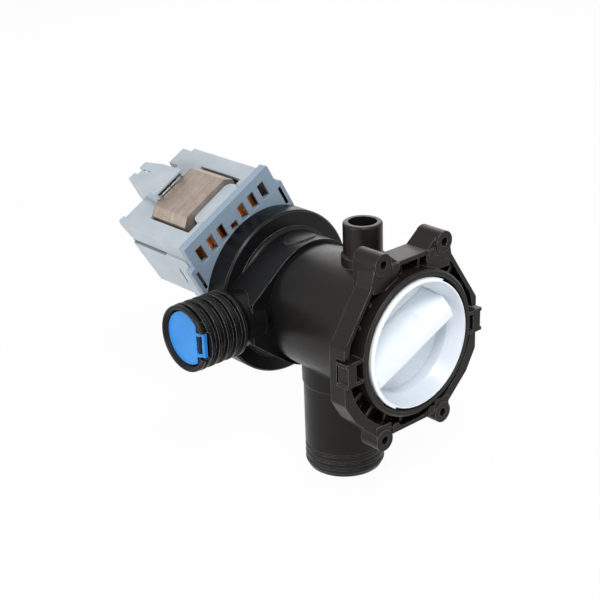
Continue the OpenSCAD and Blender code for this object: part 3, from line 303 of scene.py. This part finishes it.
def housing_seams(g):
    """Planes where the pipes meet the sump and the pump chamber."""
    height, width = g.along(0.0, 0.0, 1.0), g.along(1.0, 0.0, 0.0)
    inlet, vent, outlet = (g.band(place, low * MM, high * MM) for place, (low, high) in
                           ((height, INLET_SEAM), (height, VENT_SEAM), (width, OUTLET_SEAM)))
    return g.math("MAXIMUM", g.math("MAXIMUM", inlet, vent), outlet)


# The motor stands rolled about the pump's axis, so its own width and height lie along these directions
MOTOR_ROLL = math.radians(29.0)
MOTOR_WIDTH = (math.cos(MOTOR_ROLL), 0.0, math.sin(MOTOR_ROLL))
MOTOR_HEIGHT = (-math.sin(MOTOR_ROLL), 0.0, math.cos(MOTOR_ROLL))

# Boxes in the motor's own width, depth and height (mm) that hold shade, and how deep the shade is
SHADE_BOXES = (((27.3, 29.2), (118.3, 145.5), (41.7, 42.4), 0.85),
               ((28.0, 28.72), (113.0, 114.0), (25.0, 34.0), 0.9),
               ((26.5, 31.0), (95.6, 102.6), (27.8, 39.8), 1.0))


def motor_painted_shade(g):
    """Painted shade in the seam under the casing's ledge, the slit in its side panel and the slots at the
    plate's sides.
    """
    width = g.math("ABSOLUTE", g.along(*MOTOR_WIDTH), 0.0)
    places = (width, g.along(*AXIS), g.along(*MOTOR_HEIGHT))
    shade = None
    for *box, mark in SHADE_BOXES:
        for place, (low, high) in zip(places, box):
            mark = g.math("MULTIPLY", g.band(place, low * MM, high * MM), mark)
        shade = g.math("MAXIMUM", shade, mark) if shade else mark
    return shade


# How far a surface must turn to the filter's axis to count as a wall, from the first sign of it to full
WALL_TURN = (-0.2, -0.75)


def painted_wall_shade(g):
    """Painted shade on the filter cap's thin walls, which face its axis, so that they look darker and bluer
    than the thick grip between them.
    """
    geometry = g.add("ShaderNodeNewGeometry")
    outward = g.vector("NORMALIZE", g.vector("MULTIPLY", geometry.outputs["Position"], ACROSS))
    return g.ramp(g.vector("DOT_PRODUCT", outward, geometry.outputs["Normal"]), *WALL_TURN)


PLASTICS = {
    "black_plastic": dict(colour=srgb(12, 12, 14), pale=srgb(18, 18, 19), rough=0.34, edge=0.4 * MM,
                          edge_wear_and_highlight_colour=srgb(146, 144, 142), edge_gain=0.7, specular=0.18,
                          fade=(srgb(27, 23, 20), 15.0 * MM, 70.0 * MM), flush=housing_seams),
    "white_plastic": dict(colour=srgb(222, 228, 234), pale=srgb(230, 235, 240), rough=0.32, edge=0.5 * MM,
                          # Painted shade: the cap paler at its front faces and darker deeper in its bowl
                          grain=900.0, subsurface=0.12, fade=(srgb(244, 247, 250), -3.8 * MM, 4.0 * MM),
                          # Painted shade on the cap's walls that face its axis
                          shadow=painted_wall_shade, shadow_colour=srgb(209, 215, 222)),
    "motor_plastic": dict(colour=srgb(162, 170, 177), pale=srgb(174, 182, 188), rough=0.42, edge=0.4 * MM,
                          # Painted shade in the casing's seam and slit and in the plate's side slots
                          edge_wear_and_highlight_colour=srgb(206, 211, 216), edge_gain=0.6, shadow=motor_painted_shade,
                          shadow_colour=srgb(16, 18, 22), shadow_gloss=0.05,
                          # Painted shade: the front plate's front face darker and bluer than the casing
                          fade=(srgb(132, 149, 165), 99.5 * MM, 99.7 * MM)),
    "blue_plastic": dict(colour=srgb(22, 116, 192), pale=srgb(34, 130, 206), rough=0.36, edge=0.3 * MM),
    "grey_plastic": dict(colour=srgb(64, 66, 70), pale=srgb(78, 80, 84), rough=0.45, edge=0.3 * MM),
    "natural_plastic": dict(colour=srgb(214, 212, 198), pale=srgb(226, 224, 212), rough=0.42, edge=0.3 * MM),
    "black_rubber": dict(colour=srgb(24, 24, 24), pale=srgb(34, 33, 32), rough=0.62, edge=0.2 * MM,
                         grain=2600.0, grain_depth=0.04 * MM, specular=0.3),
    "bearing_carbon": dict(colour=srgb(52, 51, 51), pale=srgb(66, 65, 64), rough=0.4, edge=0.2 * MM),
    "ferrite": dict(colour=srgb(48, 46, 46), pale=srgb(62, 60, 59), rough=0.5, edge=0.2 * MM,
                    grain=3000.0, grain_depth=0.04 * MM),
}
METALS = {
    "shaft_steel": dict(colour=srgb(190, 190, 190), pale=srgb(208, 208, 208), rough=0.22),
    "lamination_steel": dict(colour=srgb(152, 137, 126), pale=srgb(182, 167, 155), rough=0.42,
                             metallic=0.45, sheets="Y"),
    "copper": dict(colour=srgb(246, 128, 50), pale=srgb(255, 174, 96), rough=0.22, metallic=0.3),
    "tinned_brass": dict(colour=srgb(206, 208, 208), pale=srgb(226, 228, 228), rough=0.2),
}
MATERIALS = {name: moulded(name, **looks) for name, looks in PLASTICS.items()}
MATERIALS.update((name, metal(name, **looks)) for name, looks in METALS.items())


def dress_nodes():
    for part in frame["record"]["subparts"]:
        data = nodes[part["node"]].data
        data.materials.clear()
        data.materials.append(MATERIALS[part["material_slot"]])


# Coils, in the motor's own width, depth and height. They follow the source, but reach forward to their
# bobbin's edge. The wire lies over packed turns, drawn as a tube. SQUARE is how square the turns are.
LEG_OFF, COIL_MID = 11.5 * MM, 121.3 * MM
COIL_BOTTOM, COIL_TOP = 21.1 * MM, 43.5 * MM
COIL_HALF, COIL_DEEP = 9.2 * MM, 19.8 * MM
WIRE_R, WIRE_TURNS, TURN_STEPS, WIRE_SIDES = 0.36 * MM, 26, 48, 8
WIRE_END = 1.2 * WIRE_R
PACKED_OUT, PACKED_IN, PACKED_STEPS = 1.5 * WIRE_R, 1.5 * WIRE_R + 1.0 * MM, 64
SQUARE = 4.0


def in_motor(u, y, v):
    c, s = math.cos(MOTOR_ROLL), math.sin(MOTOR_ROLL)
    return (u * c - v * s, y, u * s + v * c)


def squared(half_u, half_y, t):
    """A point on a round-cornered turn."""
    def eased(x):
        return math.copysign(abs(x) ** (2.0 / SQUARE), x)
    return half_u * eased(math.cos(t)), half_y * eased(math.sin(t))


def ring_faces(low, high, count):
    """Faces between two rings of points that begin at low and high."""
    return [(low + i, low + (i + 1) % count, high + (i + 1) % count, high + i) for i in range(count)]


def fine_wire(side):
    """Points and faces of one layer of wire."""
    half_u, half_y = COIL_HALF - WIRE_R, COIL_DEEP - WIRE_R
    rise = COIL_TOP - COIL_BOTTOM - 2 * WIRE_END
    steps = WIRE_TURNS * TURN_STEPS
    verts, faces = [], []
    for i in range(steps + 1):
        u, y = squared(half_u, half_y, math.tau * i / TURN_STEPS)
        v = COIL_BOTTOM + WIRE_END + rise * i / steps
        out = Vector([math.copysign(abs(p / half) ** (SQUARE - 1), p) / half
                      for p, half in ((u, half_u), (y, half_y))]).normalized()
        for k in range(WIRE_SIDES):
            a = math.tau * k / WIRE_SIDES
            aside, down = WIRE_R * math.cos(a) * out, WIRE_R * math.sin(a)
            verts.append(in_motor(side * LEG_OFF + u + aside.x, COIL_MID + y + aside.y, v - down))
    for i in range(steps):
        faces += ring_faces(i * WIRE_SIDES, (i + 1) * WIRE_SIDES, WIRE_SIDES)
    faces.append(tuple(range(WIRE_SIDES - 1, -1, -1)))
    faces.append(tuple(steps * WIRE_SIDES + k for k in range(WIRE_SIDES)))
    return verts, faces


def packed_turns(side, first):
    """Points and faces of the tube under the wire. Its points are counted from first."""
    rings = ((PACKED_OUT, COIL_BOTTOM), (PACKED_OUT, COIL_TOP),
             (PACKED_IN, COIL_TOP), (PACKED_IN, COIL_BOTTOM))
    verts, faces = [], []
    for n, (inset, v) in enumerate(rings):
        for i in range(PACKED_STEPS):
            u, y = squared(COIL_HALF - inset, COIL_DEEP - inset, math.tau * i / PACKED_STEPS)
            verts.append(in_motor(side * LEG_OFF + u, COIL_MID + y, v))
        after = (n + 1) % len(rings)
        faces += ring_faces(first + n * PACKED_STEPS, first + after * PACKED_STEPS, PACKED_STEPS)
    return verts, faces


def wound_coil(name, side, replaced):
    """One layer of fine wire wound over its packed inner turns."""
    verts, faces = fine_wire(side)
    inner_verts, inner_faces = packed_turns(side, len(verts))
    mesh = bpy.data.meshes.new(name)
    mesh.from_pydata(verts + inner_verts, [], faces + inner_faces)
    mesh.shade_smooth()
    mesh.materials.append(MATERIALS["copper"])
    piece = bpy.data.objects.new(name, mesh)
    scene.collection.objects.link(piece)
    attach(piece, "pump_body")
    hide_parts(*replaced)


# Outlet: the corners of the gap in its lip, in millimetres, where the flap's loop shows
LIP_GAP = ((-71.0, 58.0, -6.5), (-65.3, 66.9, 6.5))
SAME_POINT, SHARP_EDGE = 1e-6, math.radians(28.0)
BOX_FACES = ((0, 2, 3, 1), (4, 5, 7, 6), (0, 1, 5, 4), (2, 6, 7, 3), (0, 4, 6, 2), (1, 3, 7, 5))


def cutting_box(name, low, high):
    corners = [tuple((high if i >> axis & 1 else low)[axis] * MM for axis in range(3)) for i in range(8)]
    mesh = bpy.data.meshes.new(name)
    mesh.from_pydata(corners, [], BOX_FACES)
    box = bpy.data.objects.new(name, mesh)
    scene.collection.objects.link(box)
    return box


def open_lip(name, node):
    """The outlet with its lip open beside the flap's hinge."""
    whole = nodes[node].data.copy()
    whole.transform(nodes[node].matrix_world)
    welded = bmesh.new()
    welded.from_mesh(whole)
    bmesh.ops.remove_doubles(welded, verts=welded.verts, dist=SAME_POINT)
    welded.to_mesh(whole)
    welded.free()
    piece = bpy.data.objects.new(name, whole)
    scene.collection.objects.link(piece)
    cutter = cutting_box(name + "_cutter", *LIP_GAP)
    cut = piece.modifiers.new("gap", "BOOLEAN")
    cut.operation, cut.solver, cut.object = "DIFFERENCE", "EXACT", cutter
    mesh = bpy.data.meshes.new_from_object(piece.evaluated_get(bpy.context.evaluated_depsgraph_get()))
    piece.modifiers.clear()
    piece.data = mesh
    tool = cutter.data
    bpy.data.objects.remove(cutter)
    bpy.data.meshes.remove(tool)
    bpy.data.meshes.remove(whole)
    mesh.materials.clear()
    mesh.materials.append(MATERIALS["black_plastic"])
    mesh.polygons.foreach_set("material_index", [0] * len(mesh.polygons))
    mesh.shade_smooth()
    mesh.set_sharp_from_angle(angle=SHARP_EDGE)
    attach(piece, "pump_body")
    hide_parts(node)


# Studio: pale floor that shows white but keeps a little of the shadow, white surroundings and soft lamps
FLOOR_HALF, FLOOR_DROP, FLOOR_COLOUR, FLOOR_WHITE = 4.0, 0.2 * MM, (0.86, 0.86, 0.86, 1.0), 0.96
ROOM_COLOUR, ROOM_STRENGTH = (0.86, 0.93, 1.0, 1.0), 0.34
WHITE, WHITE_STRENGTH = (1.0, 1.0, 1.0, 1.0), 1.0
WARM, COOL = (1.0, 0.985, 0.965), (0.84, 0.93, 1.0)
LIT_POINT = Vector((0.0, 0.07, -0.01))
# Name, place, size, power and colour
LAMPS = (("key", (-0.36, -0.50, 0.88), 0.35, 7.7, WARM),
         ("side", (-1.15, 0.15, -0.02), 0.8, 14.0, WARM),
         ("fill", (-0.25, -1.05, 0.5), 0.45, 2.6, COOL),
         ("rim", (0.7, 0.85, 0.55), 0.9, 3.5, WARM))


def background_rays(g):
    path = g.add("ShaderNodeLightPath")
    seen = g.math("MAXIMUM", path.outputs["Is Camera Ray"], path.outputs["Is Glossy Ray"])
    return g.math("MAXIMUM", seen, path.outputs["Is Transmission Ray"])


def mix_shaders(g, factor, first, second):
    """Show the second shader where the factor is one."""
    mix = g.add("ShaderNodeMixShader")
    g.link(factor, mix.inputs["Fac"])
    g.link(first.outputs[0], mix.inputs[1])
    g.link(second.outputs[0], mix.inputs[2])
    g.link(mix.outputs["Shader"], g.out.inputs["Surface"])


def add_floor():
    z, h = cad_box[0][2] - FLOOR_DROP, FLOOR_HALF
    mesh = bpy.data.meshes.new("floor")
    mesh.from_pydata([(-h, -h, z), (h, -h, z), (h, h, z), (-h, h, z)], [], [(0, 1, 2, 3)])
    floor = bpy.data.objects.new("floor", mesh)
    scene.collection.objects.link(floor)
    g = Material("floor")
    diffuse, glow = g.add("ShaderNodeBsdfDiffuse"), g.add("ShaderNodeEmission")
    diffuse.inputs["Color"].default_value = FLOOR_COLOUR
    mix_shaders(g, g.math("MULTIPLY", background_rays(g), FLOOR_WHITE), diffuse, glow)
    mesh.materials.append(g.material)


def add_world():
    world = bpy.data.worlds.new("studio")
    scene.world = world
    world.use_nodes = True
    g = Graph(world.node_tree, "ShaderNodeOutputWorld")
    room, white = g.add("ShaderNodeBackground"), g.add("ShaderNodeBackground")
    room.inputs["Color"].default_value = ROOM_COLOUR
    room.inputs["Strength"].default_value = ROOM_STRENGTH
    white.inputs["Color"].default_value = WHITE
    white.inputs["Strength"].default_value = WHITE_STRENGTH
    mix_shaders(g, background_rays(g), room, white)


def add_lamp(name, place, size, power, colour):
    data = bpy.data.lights.new(name, "AREA")
    data.shape = "DISK"
    data.size = size
    data.energy = power
    data.color = colour
    lamp = bpy.data.objects.new(name, data)
    lamp.location = place
    lamp.rotation_euler = (LIT_POINT - Vector(place)).to_track_quat("-Z", "Y").to_euler()
    scene.collection.objects.link(lamp)


add_camera()
dress_nodes()
wound_coil("winding_left", -1, ("coil_left", "outer_turns_left"))
wound_coil("winding_right", 1, ("coil_right", "outer_turns_right"))
open_lip("outlet_open_lip", "outlet_pipe")
add_floor()
add_world()
for lamp in LAMPS:
    add_lamp(*lamp)
